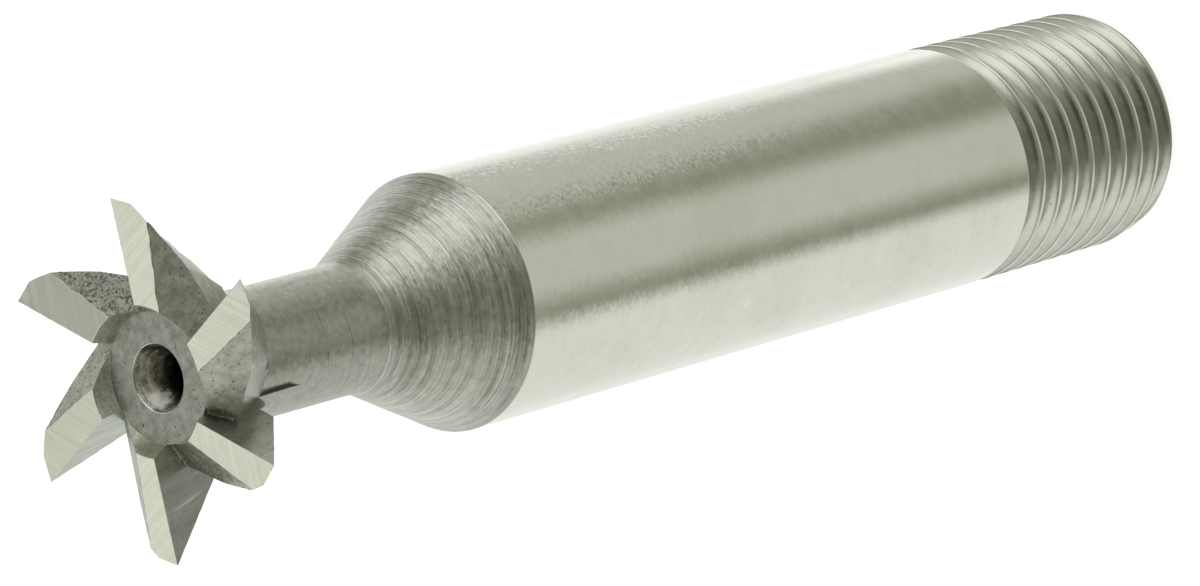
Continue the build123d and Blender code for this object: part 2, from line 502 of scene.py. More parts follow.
def wearEdges(bm, zone, tooth):
    # A very small flat along the ground edges of the head, which catches the light
    chosen = []
    for e in bm.edges:
        if len(e.link_faces) != 2 or not e.is_convex:
            continue
        names = zonesBeside(e, zone)
        ground = "hub" in names or ("land" in names and "bore" not in names)
        if ground and e.calc_face_angle() >= math.radians(edgeWear["angle"]):
            chosen.append(e)
    made = bmesh.ops.bevel(
        bm,
        geom=chosen,
        offset=edgeWear["width"],
        offset_type="OFFSET",
        segments=1,
        profile=0.5,
        affect="EDGES",
        clamp_overlap=False,
    )
    for face in made["faces"]:
        face[zone] = zoneNumber["edge"]
        face[tooth] = toothOf(face.calc_center_median(), "edge")
    print("worn edges", len(chosen), "faces", len(made["faces"]))


# Edges of the teeth: how far they wander, in millimetres, and how often
edgeWander = {
    "step": 0.22, "angle": 28.0, "leading": 0.016, "trailing": 0.05, "rate": 1.9, "secondRate": 2.7,
    "secondShare": 0.6,
}


def wanderEdges(bm, zone):
    # Hand-ground edges are never quite straight: they are divided and moved a little sideways
    w = edgeWander
    chosen = []
    for e in bm.edges:
        if len(e.link_faces) != 2 or e.calc_length() < 2.0 * w["step"]:
            continue
        names = zonesBeside(e, zone)
        if e.calc_face_angle() >= math.radians(w["angle"]) and not names & {"neck", "bore", "cone"}:
            chosen.append(e)
    for e in chosen:
        cuts = int(e.calc_length() / w["step"])
        rough = "heel" in zonesBeside(e, zone)
        amount = w["trailing"] if rough else w["leading"]
        along = (e.verts[1].co - e.verts[0].co).normalized()
        sideways = along.cross(e.link_faces[0].normal)
        second = along.cross(e.link_faces[1].normal)
        if second.dot(sideways) < 0:
            second.negate()
        sideways = (sideways + second).normalized()
        made = bmesh.ops.subdivide_edges(bm, edges=[e], cuts=cuts)
        for v in made["geom_inner"]:
            if not isinstance(v, bmesh.types.BMVert):
                continue
            first = mathutils.noise.noise(v.co * w["rate"])
            shift = first + w["secondShare"] * mathutils.noise.noise(v.co * w["rate"] * w["secondRate"])
            v.co += sideways * shift * amount
    print("wandering edges", len(chosen))


# The thin lines of burr that were left where a gash meets the tooth behind it
burrs = {
    "gashes": ((0, 5), (5, 4)),
    "shortestRoot": 1.0,
    "width": 0.06,
    "height": 0.07,
    "widthSpread": (0.6, 1.3),
    "heightSpread": (0.5, 1.6),
    "sway": (-0.02, 0.03),  # towards the heel
    "crown": 0.03,
    "sunk": (0.02, 0.04),  # sides and root, below the corner
    "taper": (6.0, 0.1),  # how fast it grows from its ends, and what it starts with
    "stations": 22,
    "seed": 11,
}


def gashRoots(bm, zone, tooth):
    # Ends of the root line of each gash, with the normals of its two walls
    found = {}
    for e in bm.edges:
        if len(e.link_faces) != 2 or e.is_convex or e.calc_length() < burrs["shortestRoot"]:
            continue
        walls = {zoneNames[f[zone]]: f for f in e.link_faces}
        if set(walls) == {"heel", "rake"}:
            key = (walls["heel"][tooth], walls["rake"][tooth])
            ends = [v.co.copy() for v in e.verts]
            ends.sort(key=lambda p: math.hypot(p.x, p.y))
            found[key] = (ends, walls["heel"].normal.copy(), walls["rake"].normal.copy())
    return found


def addBurr(bm, root, zone, tooth, k):
    # An uneven ridge that stands a little out of the corner
    (start, finish), heelNormal, rakeNormal = root
    rng = np.random.default_rng(burrs["seed"] + k)
    out = (heelNormal + rakeNormal).normalized()
    taperRate, endShare = burrs["taper"]
    sunk, rootSunk = burrs["sunk"]
    n = burrs["stations"]
    rings = []
    for i in range(n):
        t = i / (n - 1)
        taper = min(1.0, taperRate * t, taperRate * (1.0 - t)) * (1.0 - endShare) + endShare
        width = burrs["width"] * taper * rng.uniform(*burrs["widthSpread"])
        height = burrs["height"] * taper * rng.uniform(*burrs["heightSpread"])
        base = start.lerp(finish, t) - out * sunk
        lift = out * height + heelNormal * rng.uniform(*burrs["sway"])
        corners = (
            base + heelNormal * width,
            base + lift + out * burrs["crown"],
            base + rakeNormal * width,
            base - out * rootSunk,
        )
        rings.append([bm.verts.new(corner) for corner in corners])
    faces = []
    for a, b in zip(rings, rings[1:]):
        for j in range(4):
            after = (j + 1) % 4
            faces.append(bm.faces.new((a[j], a[after], b[after], b[j])))
    faces.append(bm.faces.new(rings[0]))
    faces.append(bm.faces.new(list(reversed(rings[-1]))))
    for face in faces:
        face[zone] = zoneNumber["burr"]
        face[tooth] = k


# The zones of the turned body below the head, with the height down to which each one reaches,
# a little beside the corner itself
bodyZones = [
    ("neck", bodyShape["neckEnd"] + 0.25),
    ("cone", bodyShape["shoulderHeight"] + 0.03),
    ("shank", bodyShape["threadTop"] - 0.02),
    ("thread", 0.0),
]
gashRootEnds = {}


def bodyZone(row):
    # The zone of the strip below a row of the turned body
    if row >= lowestRow - 2:
        return "end"
    z = 0.5 * (bodyLine[row][0] + bodyLine[row + 1][0])
    return next(name for name, lowEnd in bodyZones if z > lowEnd)


def buildCutter():
    bm = headMesh()
    zone = bm.faces.layers.int.new("zone")
    tooth = bm.faces.layers.int.new("tooth")
    for face in bm.faces:
        centre = face.calc_center_median()
        name = zoneOf(centre, face.normal)
        face[zone] = zoneNumber[name]
        if name in toothZones:
            face[tooth] = toothOf(centre, name)
    roots = gashRoots(bm, zone, tooth)
    print("gash roots", sorted(roots))
    gashRootEnds.update({key: ends for key, (ends, _, _) in roots.items()})
    wanderEdges(bm, zone)
    wearEdges(bm, zone, tooth)
    rim = [v for v in bm.verts if v.is_boundary]
    rim.sort(key=angleOf)
    addBody(bm, rim, zone)
    for key in burrs["gashes"]:
        addBurr(bm, roots[key], zone, tooth, key[0])
    bmesh.ops.recalc_face_normals(bm, faces=bm.faces[:])
    layFinish(bm, zone, tooth)
    return bm, zone, tooth


def addBody(bm, rim, zone):
    # The turned body, joined to the rim of the head
    rows, count = bodyPoints.shape[:2]
    firstThread, lastThread = threadRows()
    verts = [
        None if firstThread < i < lastThread else [bm.verts.new(p) for p in row]
        for i, row in enumerate(bodyPoints)
    ]
    tipVert = bm.verts.new((0, 0, bodyTip[0]))
    weaveThread(bm, verts[firstThread], verts[lastThread], zone)
    for i in range(rows - 1):
        if firstThread <= i < lastThread:
            continue
        number = zoneNumber[bodyZone(i)]
        for j in range(count):
            k = (j + 1) % count
            face = bm.faces.new((verts[i][j], verts[i + 1][j], verts[i + 1][k], verts[i][k]))
            face[zone] = number
    for j in range(count):
        face = bm.faces.new((verts[-1][j], tipVert, verts[-1][(j + 1) % count]))
        face[zone] = zoneNumber["end"]
    zipRings(bm, rim, verts[0], zone)


def weaveThread(bm, upper, lower, zone):
    # Rows that climb one pitch a turn, so that crests and roots run along them
    count = len(upper)
    n = threadShape["rowsPerTurn"]
    pitch = threadShape["pitch"]
    top = upper[0].co.z
    bottom = lower[0].co.z
    near = threadShape["joinShare"] * pitch / n
    made = {}

    def vertAt(i, j):
        if j == count:
            i -= n
            j = 0
        z = top + pitch * j / count - pitch * i / n
        if z > top - near:
            return upper[j]
        if z < bottom + near:
            return lower[j]
        if (i, j) not in made:
            made[i, j] = bm.verts.new(threadPoint(z, 360.0 * j / count))
        return made[i, j]

    def uncut(v):
        return v.co.z > threadShape["uncutAbove"] and math.hypot(v.co.x, v.co.y) > threadShape["uncutRadius"]

    rows = int((top - bottom) / pitch * n) + n + 2
    for i in range(rows):
        for j in range(count):
            corners = []
            for v in (vertAt(i, j), vertAt(i + 1, j), vertAt(i + 1, j + 1), vertAt(i, j + 1)):
                if v not in corners:
                    corners.append(v)
            if len(corners) > 2:
                face = bm.faces.new(corners)
                face[zone] = zoneNumber["shank" if all(uncut(v) for v in corners) else "thread"]


def angleOf(v):
    return math.atan2(v.co.y, v.co.x) % (2 * math.pi)


def zipRings(bm, upper, lower, zone):
    # A strip of triangles between two rings with different counts of points
    upperAngles = [angleOf(v) for v in upper]
    lowerAngles = [angleOf(v) for v in lower]
    n = len(upper)
    m = len(lower)
    i = 0
    j = 0
    while i < n or j < m:
        nextUpper = upperAngles[(i + 1) % n] + 2 * math.pi * ((i + 1) // n)
        nextLower = lowerAngles[(j + 1) % m] + 2 * math.pi * ((j + 1) // m)
        a = upper[i % n]
        b = lower[j % m]
        if j >= m or (i < n and nextUpper <= nextLower):
            corners = (a, b, upper[(i + 1) % n])
            i += 1
        else:
            corners = (a, b, lower[(j + 1) % m])
            j += 1
        face = bm.faces.new(corners)
        face[zone] = zoneNumber["neck"]


def isNeckWall(face):
    # A facet of the plain round neck, also where the gashes run out into it
    low = bodyShape["joinHeight"] - headZones["wallDrop"]
    if abs(face.normal.z) > headZones["wallSlope"] or face.calc_center_median().z < low:
        return False
    radii = [math.hypot(v.co.x, v.co.y) for v in face.verts]
    return all(abs(r - bodyShape["neckRadius"]) < headZones["facetError"] for r in radii)


# No two teeth came out alike, and faces that lie in shade, such as heel 4, heel 5 and gash wall 4, are
# painted lighter as painted light: how much lighter a face is, as a share, and how pitted
faceTonesAndPaintedLight = {
    ("land", 1): (0.04, 0.0),
    ("land", 2): (-0.36, 0.0),
    ("land", 3): (-0.10, 0.0),
    ("land", 4): (0.06, 0.0),
    ("heel", 0): (0.22, 0.15),
    ("heel", 1): (0.22, 0.15),
    ("heel", 2): (-0.18, 1.0),
    ("heel", 3): (0.32, 0.4),
    ("heel", 4): (0.25, 0.1),
    ("heel", 5): (0.55, 0.4),
    ("flank", 1): (0.30, 0.5),
    ("flank", 3): (-0.08, 0.2),
    ("gashWall", 4): (0.45, 0.4),
    ("rake", 5): (0.22, 0.2),
    ("rake", 4): (-0.27, 0.1),
    ("edge", 2): (-0.25, 0.0),
    ("recess", 2): (0.0, 0.3),
    ("recess", 3): (0.0, 0.4),
    ("recess", 4): (0.35, 0.3),
}


def shadeCutter(bm, zone, tooth, mesh):
    # Flat faces stay flat, round ones are smooth, and the neck takes the normals of a true cylinder
    looks = [faceTonesAndPaintedLight.get((zoneNames[face[zone]], face[tooth]), (0.0, 0.0)) for face in bm.faces]
    normals = []
    byAngle = Vector((0.0, 0.0, 0.0))
    for face in bm.faces:
        face.material_index = face[zone]
        face.smooth = True
        name = zoneNames[face[zone]]
        wall = isNeckWall(face)
        planar = name in ("land", "hub", "heel", "edge") or face.calc_area() > headZones["flatArea"]
        planar = planar and name not in ("shank", "thread", "cone", "end")
        own = face.normal.copy()
        for loop in face.loops:
            p = loop.vert.co
            if wall:
                normals.append(Vector((p.x, p.y, 0.0)).normalized())
            else:
                normals.append(own if planar else byAngle)
    turned = [zoneNumber[name] for name in ("thread", "shank", "cone")]
    for e in bm.edges:
        soft = all(f[zone] in turned for f in e.link_faces)
        e.smooth = soft or e.is_boundary or e.calc_face_angle() < math.radians(headZones["sharpAngle"])
    for v in bm.verts:
        v.co *= mm
    bm.to_mesh(mesh)
    for number, attribute in enumerate(("faceToneAndPaintedLight", "pitting")):
        values = [look[number] for look in looks]
        mesh.attributes.new(attribute, "FLOAT", "FACE").data.foreach_set("value", values)
    mesh.normals_split_custom_set(normals)


cutterBm, zoneLayer, toothLayer = buildCutter()
print("open edges", sum(e.is_boundary for e in cutterBm.edges))
cutterMesh = bpy.data.meshes.new("cutter_body")
shadeCutter(cutterBm, zoneLayer, toothLayer, cutterMesh)
print("cutter faces", len(cutterMesh.polygons))
cutterBm.free()
cutter = bpy.data.objects.new("cutter_body", cutterMesh)
scene.collection.objects.link(cutter)

# What most finishes share: spacings in marks per millimetre, heights in micrometres
commonFinish = {
    "path": "wheel", "roughness": 0.3, "fine": 8.0, "coarse": 2.6, "fineShare": 0.4, "coarseShare": 0.4,
    "mottle": 1.2, "mottleShare": 0.8, "fineHeight": 1.2, "coarseHeight": 1.2, "grainHeight": 0.2,
    "roughSpread": 0.12, "pits": 2.0, "pitShare": 0.7, "pitDarkness": 0.4, "anisotropy": 0.0,
    "scratches": 0.0,
}

# The finish of each zone, where it differs, with its colours in linear light
finishes = {
    "shank": {
        "dark": (0.53, 0.545, 0.455), "light": (0.68, 0.7, 0.605), "path": "around", "roughness": 0.15,
        "fine": 9.0, "coarse": 2.1, "fineShare": 0.1, "coarseShare": 0.14, "mottleShare": 0.34,
        "fineHeight": 0.5, "coarseHeight": 0.5, "grainHeight": 0.55, "roughSpread": 0.1, "pits": 2.6,
        "pitShare": 0.715, "pitDarkness": 0.45, "anisotropy": 0.45,
    },
    "thread": {
        "dark": (0.425, 0.428, 0.365), "light": (0.66, 0.68, 0.6), "path": "around", "roughness": 0.19,
        "coarse": 2.0, "fineShare": 0.12, "coarseShare": 0.12, "mottleShare": 0.4, "fineHeight": 0.5,
        "coarseHeight": 0.4, "roughSpread": 0.1, "pits": 2.6, "pitShare": 0.72, "anisotropy": 0.3,
    },
    "cone": {
        "dark": (0.33, 0.34, 0.285), "light": (0.64, 0.66, 0.585), "path": "around", "roughness": 0.33,
        "fine": 12.0, "coarse": 4.0, "fineShare": 0.95, "coarseShare": 0.6, "mottle": 2.2,
        "mottleShare": 0.5, "fineHeight": 2.5, "coarseHeight": 3.5, "grainHeight": 1.4, "pits": 2.2,
        "pitShare": 0.71, "pitDarkness": 0.5, "anisotropy": 0.6,
    },
    "neck": {
        "dark": (0.24, 0.25, 0.205), "light": (0.42, 0.435, 0.37), "path": "around", "roughness": 0.35,
        "fine": 10.0, "coarse": 3.0, "fineShare": 0.12, "coarseShare": 0.15, "mottle": 3.0,
        "fineHeight": 0.8, "coarseHeight": 0.8, "grainHeight": 1.6, "roughSpread": 0.1, "pits": 2.2,
        "pitDarkness": 0.5, "anisotropy": 0.2,
    },
    "hub": {
        "dark": (0.212, 0.221, 0.18), "light": (0.405, 0.42, 0.355), "path": "rings", "roughness": 0.46,
        "fine": 7.0, "coarse": 2.0, "fineShare": 0.12, "coarseShare": 0.18, "mottle": 2.0,
        "mottleShare": 1.1, "fineHeight": 0.5, "grainHeight": 3.0, "pitShare": 0.64,
        "pitDarkness": 0.45,
    },
    "recess": {
        "dark": (0.34, 0.34, 0.27), "light": (0.58, 0.59, 0.51), "path": "around", "fine": 9.0,
        "coarse": 3.0, "mottleShare": 0.7, "fineHeight": 1.0, "grainHeight": 0.8, "pitDarkness": 0.5,
        "anisotropy": 0.3,
    },
    "bore": {
        "dark": (0.12, 0.117, 0.092), "light": (0.64, 0.63, 0.54), "path": "around", "roughness": 0.28,
        "coarse": 2.5, "fineShare": 0.35, "coarseShare": 0.5, "mottle": 1.9, "coarseHeight": 4.0,
        "grainHeight": 1.0, "pitDarkness": 0.5, "anisotropy": 0.2,
    },
    "end": {
        "dark": (0.4, 0.41, 0.34), "light": (0.58, 0.6, 0.51), "path": "rings", "roughness": 0.26,
        "fine": 9.0, "coarse": 2.5, "mottle": 1.0, "mottleShare": 0.4, "fineHeight": 1.0,
        "grainHeight": 0.4, "roughSpread": 0.1, "pits": 2.4, "anisotropy": 0.3,
    },
    "land": {
        "dark": (0.52, 0.53, 0.43), "light": (0.72, 0.735, 0.61), "roughness": 0.24, "fine": 11.0,
        "coarse": 3.4, "fineShare": 0.5, "coarseShare": 0.7, "mottle": 0.6, "mottleShare": 0.25,
        "fineHeight": 0.7, "coarseHeight": 1.1, "grainHeight": 0.15, "roughSpread": 0.08, "pits": 1.6,
        "pitShare": 0.74, "pitDarkness": 0.35,
    },
    "heel": {
        "dark": (0.24, 0.25, 0.205), "light": (0.5, 0.515, 0.44), "roughness": 0.4, "fine": 6.0,
        "coarse": 1.7, "fineShare": 0.25, "coarseShare": 0.25, "mottle": 2.4, "coarseHeight": 1.5,
        "grainHeight": 3.0, "pits": 3.0, "pitShare": 0.63, "pitDarkness": 0.35,
    },
    "rake": {
        "dark": (0.285, 0.3, 0.255), "light": (0.49, 0.515, 0.45), "fine": 7.0, "coarse": 1.6,
        "coarseShare": 0.8, "mottle": 0.9, "mottleShare": 0.5, "coarseHeight": 1.6, "grainHeight": 0.5,
        "pits": 1.8, "scratches": 0.55,
    },
    "flank": {
        "dark": (0.485, 0.51, 0.45), "light": (0.73, 0.755, 0.7), "roughness": 0.26, "fineShare": 0.5,
        "coarseShare": 0.8, "mottle": 1.3, "mottleShare": 0.55, "coarseHeight": 1.8, "grainHeight": 0.3,
        "roughSpread": 0.1, "pits": 1.8, "pitShare": 0.73, "scratches": 0.55,
    },
    "gashWall": {
        "dark": (0.3, 0.31, 0.255), "light": (0.54, 0.555, 0.48), "roughness": 0.38, "fine": 6.0,
        "coarse": 1.6, "coarseShare": 0.5, "mottle": 2.0, "fineHeight": 1.5, "coarseHeight": 2.0,
        "grainHeight": 1.5, "pitShare": 0.66, "pitDarkness": 0.5, "scratches": 0.55,
    },
    "edge": {
        "dark": (0.62, 0.63, 0.55), "light": (0.8, 0.81, 0.73), "roughness": 0.22, "mottle": 1.5,
        "mottleShare": 0.4, "fineHeight": 0.4, "coarseHeight": 0.5, "roughSpread": 0.08,
        "pitShare": 0.72,
    },
    "burr": {
        "dark": (0.62, 0.64, 0.56), "light": (0.82, 0.84, 0.76), "roughness": 0.25, "mottle": 2.5,
        "fineHeight": 0.8, "coarseHeight": 1.0, "grainHeight": 1.5, "roughSpread": 0.1,
        "pitShare": 0.74,
    },
}


def addNode(tree, kind, inputs=(), **settings):
    # A node with its settings, and its inputs by name or number: a socket is linked, a value is set
    node = tree.nodes.new(kind)
    for key, value in settings.items():
        setattr(node, key, value)
    for key, value in dict(inputs).items():
        if isinstance(value, bpy.types.NodeSocket):
            tree.links.new(value, node.inputs[key])
        else:
            node.inputs[key].default_value = value
    return node


def calc(tree, operation, *values, clamp=False):
    node = addNode(tree, "ShaderNodeMath", enumerate(values), operation=operation, use_clamp=clamp)
    return node.outputs[0]


def plus(tree, first, second, clamp=False):
    return calc(tree, "ADD", first, second, clamp=clamp)


def minus(tree, first, second):
    return calc(tree, "SUBTRACT", first, second)


def times(tree, first, second):
    return calc(tree, "MULTIPLY", first, second)


def vectorCalc(tree, operation, *values):
    return addNode(tree, "ShaderNodeVectorMath", enumerate(values), operation=operation).outputs


def split(tree, vector):
    return addNode(tree, "ShaderNodeSeparateXYZ", {0: vector}).outputs


def join(tree, *parts):
    return addNode(tree, "ShaderNodeCombineXYZ", enumerate(parts)).outputs[0]


def noise(tree, vector, scale, detail, roughness=0.55):
    inputs = {"Vector": vector, "Scale": scale, "Detail": detail, "Roughness": roughness}
    return addNode(tree, "ShaderNodeTexNoise", inputs, noise_dimensions="3D").outputs["Fac"]


def ramp(tree, value, low, high, bottom=0.0, top=1.0):
    inputs = {"Value": value, "From Min": low, "From Max": high, "To Min": bottom, "To Max": top}
    return addNode(tree, "ShaderNodeMapRange", inputs, interpolation_type="SMOOTHSTEP").outputs[0]


def blend(tree, share, first, second, mode="MIX"):
    node = tree.nodes.new("ShaderNodeMix")
    node.data_type = "RGBA"
    node.blend_type = mode
    for number, value in ((0, share), (6, first), (7, second)):
        if isinstance(value, bpy.types.NodeSocket):
            tree.links.new(value, node.inputs[number])
        elif number == 0:
            node.inputs[number].default_value = value
        else:
            node.inputs[number].default_value = (*value, 1.0)
    return node.outputs[2]


def centred(tree, value, share):
    return times(tree, minus(tree, value, 0.5), share)


def ragged(tree, place, away, noiseLook):
    # A distance that a noise moves to and fro: its rate, detail, roughness and reach
    rate, detail, roughness, reach = noiseLook
    return plus(tree, away, centred(tree, noise(tree, place, rate, detail, roughness), reach))


def radiusOf(tree, parts):
    squares = plus(tree, calc(tree, "POWER", parts[0], 2.0), calc(tree, "POWER", parts[1], 2.0))
    return calc(tree, "SQRT", squares)


def azimuthOf(tree, parts):
    return calc(tree, "DEGREES", calc(tree, "ARCTAN2", parts[1], parts[0]))


def surfacePlace(tree):
    # Place on the cutter in millimetres
    place = addNode(tree, "ShaderNodeTexCoord").outputs["Object"]
    return addNode(tree, "ShaderNodeVectorMath", {0: place, 3: 1 / mm}, operation="SCALE").outputs[0]


# How much slower a mark changes along its run than across it, round the axis and on a flat face
markStretch = {"round": 0.16, "flat": 1.6}


def markPlace(tree, place, path):
    # Two parts that run along the marks of the tool, and one in millimetres that runs across them
    if path == "wheel":
        flat = split(tree, addNode(tree, "ShaderNodeUVMap", uv_map="finish").outputs[0])
        along = (times(tree, flat[0], markStretch["flat"]), 0.0)
        return along, times(tree, flat[1], 1.0 / flatMap["scale"])
    parts = split(tree, place)
    along = (times(tree, parts[0], markStretch["round"]), times(tree, parts[1], markStretch["round"]))
    return along, parts[2] if path == "around" else radiusOf(tree, parts)


def marks(tree, along, across, spacing, detail):
    return noise(tree, join(tree, *along, times(tree, across, spacing)), 1.0, detail, 0.6)


# What the finishes share in the way that their marks, mottling, grain and pits work together
finishMix = {
    "grainRate": 6.0,
    "pitRate": 2.2,
    "pitEdge": 0.13,
    "pittingGain": 0.13,
    "markTone": 2.0,
    "mottleTone": 2.2,
    "grainTone": 0.9,
    "pittedGrain": 3.2,
    "scratchRate": 0.6,
    "scratchLimits": (0.64, 0.70),
    "scratchGain": 1.35,
    "mottleRoughness": 1.5,
    "pitRoughness": 0.2,
    "coarseRelief": 3.0,
    "pitRelief": 6.0,
    "anisotropyTurn": 0.25,
}


def steelFinish(name):
    f = {**commonFinish, **finishes[name]}
    mix = finishMix
    material = bpy.data.materials.new("steel_" + name)
    material.use_nodes = True
    tree = material.node_tree
    shader = tree.nodes["Principled BSDF"]
    place = surfacePlace(tree)
    along, across = markPlace(tree, place, f["path"])
    fine = marks(tree, along, across, f["fine"], 3.0)
    coarse = marks(tree, along, across, f["coarse"], 3.0)
    mottle = noise(tree, place, f["mottle"], 4.0, 0.6)
    grain = noise(tree, place, f["mottle"] * mix["grainRate"], 2.0, 0.6)
    pitNoise = noise(tree, place, f["pits"] * mix["pitRate"], 2.0, 0.5)
    faceToneAndPaintedLight = addNode(tree, "ShaderNodeAttribute", attribute_name="faceToneAndPaintedLight").outputs["Fac"]
    pitting = addNode(tree, "ShaderNodeAttribute", attribute_name="pitting").outputs["Fac"]
    pitNoise = plus(tree, pitNoise, times(tree, pitting, mix["pittingGain"]))
    pits = ramp(tree, pitNoise, f["pitShare"], f["pitShare"] + mix["pitEdge"])
    tone = plus(tree, centred(tree, fine, f["fineShare"] * mix["markTone"]), 0.5)
    tone = plus(tree, tone, centred(tree, coarse, f["coarseShare"] * mix["markTone"]))
    tone = plus(tree, tone, centred(tree, mottle, f["mottleShare"] * mix["mottleTone"]))
    evenGrain = f["mottleShare"] * mix["grainTone"]
    grainShare = calc(tree, "MULTIPLY_ADD", pitting, mix["pittedGrain"], evenGrain)
    tone = plus(tree, tone, centred(tree, grain, grainShare), clamp=True)
    colour = blend(tree, tone, f["dark"], f["light"])
    # Each face's tone: differences between the teeth, and painted light on faces that lie in shade
    colour = blend(tree, 1.0, colour, plus(tree, faceToneAndPaintedLight, 1.0), "MULTIPLY")
    if f["scratches"] > 0.0:
        lines = marks(tree, along, across, mix["scratchRate"] * f["fine"], 1.0)
        pale = tuple(min(1.0, mix["scratchGain"] * c) for c in f["light"])
        colour = blend(tree, ramp(tree, lines, *mix["scratchLimits"], 0.0, f["scratches"]), colour, pale)
    dull = tuple(c * (1.0 - f["pitDarkness"]) for c in f["dark"])
    colour = blend(tree, pits, colour, dull)
    colour = zoneExtras(tree, name, place, colour)
    tree.links.new(colour, shader.inputs["Base Color"])
    rough = plus(tree, centred(tree, coarse, f["roughSpread"]), f["roughness"])
    rough = plus(tree, rough, centred(tree, mottle, f["roughSpread"] * mix["mottleRoughness"]))
    rough = plus(tree, rough, times(tree, pits, mix["pitRoughness"]), clamp=True)
    if name == "bore":
        rough = calc(tree, "MULTIPLY_ADD", borePaintedGlintSpot(tree, place), boreShadeAndGlint["spotRoughness"], rough)
    tree.links.new(rough, shader.inputs["Roughness"])
    height = times(tree, fine, f["fineHeight"])
    height = plus(tree, height, times(tree, coarse, f["coarseHeight"] * mix["coarseRelief"]))
    height = plus(tree, height, times(tree, grain, f["grainHeight"]))
    height = minus(tree, height, times(tree, pits, mix["pitRelief"] * f["pitDarkness"]))
    inputs = {"Strength": 1.0, "Distance": 1e-6, "Height": height}
    normal = addNode(tree, "ShaderNodeBump", inputs).outputs[0]
    if name in frayedLines:
        normal = frayedNormal(tree, name, place, normal)
    tree.links.new(normal, shader.inputs["Normal"])
    shader.inputs["Metallic"].default_value = 1.0
    if f["anisotropy"] > 0.0:
        tangent = addNode(tree, "ShaderNodeTangent", direction_type="RADIAL", axis="Z")
        tree.links.new(tangent.outputs[0], shader.inputs["Tangent"])
        shader.inputs["Anisotropic"].default_value = f["anisotropy"]
        shader.inputs["Anisotropic Rotation"].default_value = mix["anisotropyTurn"]
    return material


# Short scratches round the turned parts that fray the edges of their reflections: rate along
# and across the scratch, lean of the surface, and the heights between which they get stronger
frayedLines = {
    "shank": (3.6, 11.0, 0.085, 14.0, 44.0),
    "cone": (2.6, 12.0, 0.26, 44.0, 46.0),
    "neck": (2.4, 10.0, 0.16, 44.0, 46.0),
    "thread": (0.8, 4.0, 0.05, -2.0, 0.0),
    "bore": (1.6, 4.0, 0.7, -2.0, 0.0),
}
calmShare = 0.3  # how strong they are below the lower of those heights

# A duller patch on the shank near the shoulder: middle and reach in degrees, heights where it
# comes in, flecks per millimetre round and along the axis, and lean of the surface
wornPatch = {
    "azimuth": 22.0, "reach": (12.0, 24.0), "heights": (20.0, 38.0), "rates": (4.5, 11.0), "lean": 0.42,
}


def stretchedNoise(tree, parts, rates, detail, roughness):
    around, upward = rates
    scaled = [times(tree, part, rate) for part, rate in zip(parts, (around, around, upward))]
    return noise(tree, join(tree, *scaled), 1.0, detail, roughness)


def frayedNormal(tree, name, place, normal):
    along, across, lean, calmEnd, fullStart = frayedLines[name]
    parts = split(tree, place)
    share = centred(tree, stretchedNoise(tree, parts, (along, across), 3.0, 0.6), 2.0 * lean)
    share = times(tree, share, ramp(tree, parts[2], calmEnd, fullStart, calmShare, 1.0))
    if name == "shank":
        flecks = stretchedNoise(tree, parts, wornPatch["rates"], 2.0, 0.5)
        flecks = centred(tree, flecks, 2.0 * wornPatch["lean"])
        off = calc(tree, "ABSOLUTE", minus(tree, azimuthOf(tree, parts), wornPatch["azimuth"]))
        here = ramp(tree, off, *wornPatch["reach"], 1.0, 0.0)
        here = times(tree, here, ramp(tree, parts[2], *wornPatch["heights"]))
        share = calc(tree, "MULTIPLY_ADD", flecks, here, share)
    tangent = addNode(tree, "ShaderNodeTangent", direction_type="RADIAL", axis="Z").outputs[0]
    leaning = vectorCalc(tree, "MULTIPLY_ADD", tangent, share, normal)[0]
    return vectorCalc(tree, "NORMALIZE", leaning)[0]


# Heat tint at the tips of the lands: distances from the axis, colour, share and patches
tipTint = {
    "reach": (7.2, 8.1),
    "colour": (0.60, 0.52, 0.36),
    "share": 0.42,
    "patchRate": 1.1,
    "patchLimits": (0.42, 0.62),
}

# Painted shade in the roots of the gashes: which gash, share of the way out, radius, depth of tone
gashRootShade = [
    ((0, 5), 0.30, 0.75, 0.75),
    ((0, 5), 0.75, 0.55, 0.45),
    ((5, 4), 0.15, 0.6, 0.35),
    ((1, 0), 0.35, 0.9, 0.35),
    ((2, 1), 0.25, 1.6, 0.45),
    ((3, 2), 0.4, 1.1, 0.35),
]
rootShadeLook = {"colour": (0.10, 0.10, 0.08), "core": 0.25, "noise": (2.4, 4.0, 0.65), "ragged": 1.4}

# Painted shade darkens the bore towards its bottom, and a painted glint lights a rougher spot low on its
# wall
boreShadeAndGlint = {
    "heights": (65.1, 66.2),
    "dark": 0.16,
    "spotMiddle": (-1.1, -0.62, 66.0),
    "spotReach": (0.3, 0.75),
    "spotNoise": (3.2, 3.0, 0.65, 0.8),
    "paintedGlintColour": (0.97, 0.96, 0.90),
    "spotShare": 0.95,
    "spotRoughness": 0.3,
}

# Thin lines round the turned parts, dark ones that the tool left and pale painted highlights on the cone:
# heights, how far they waver, colour
toolLines = {
    "neck": ((56.1, 57.35, 58.9), 0.25, (0.12, 0.12, 0.10)),
    "cone": (
        (48.95, 49.3, 49.95, 50.35, 51.1, 51.75, 52.2, 53.0, 53.6, 54.1), 0.05, (0.12, 0.12, 0.10),
    ),
    # Painted highlights: pale lines round the cone
    "conePaintedHighlights": ((49.52, 49.70, 51.42, 53.3, 54.35), 0.03, (0.82, 0.83, 0.78)),
}
lineLook = {
    "width": 0.035,
    "core": 0.4,
    "share": 0.55,
    "sway": (0.5, 2.0, 0.55),
    "breakRate": 0.7,
    "breaks": (0.42, 0.6),
    "shift": 7.0,
}

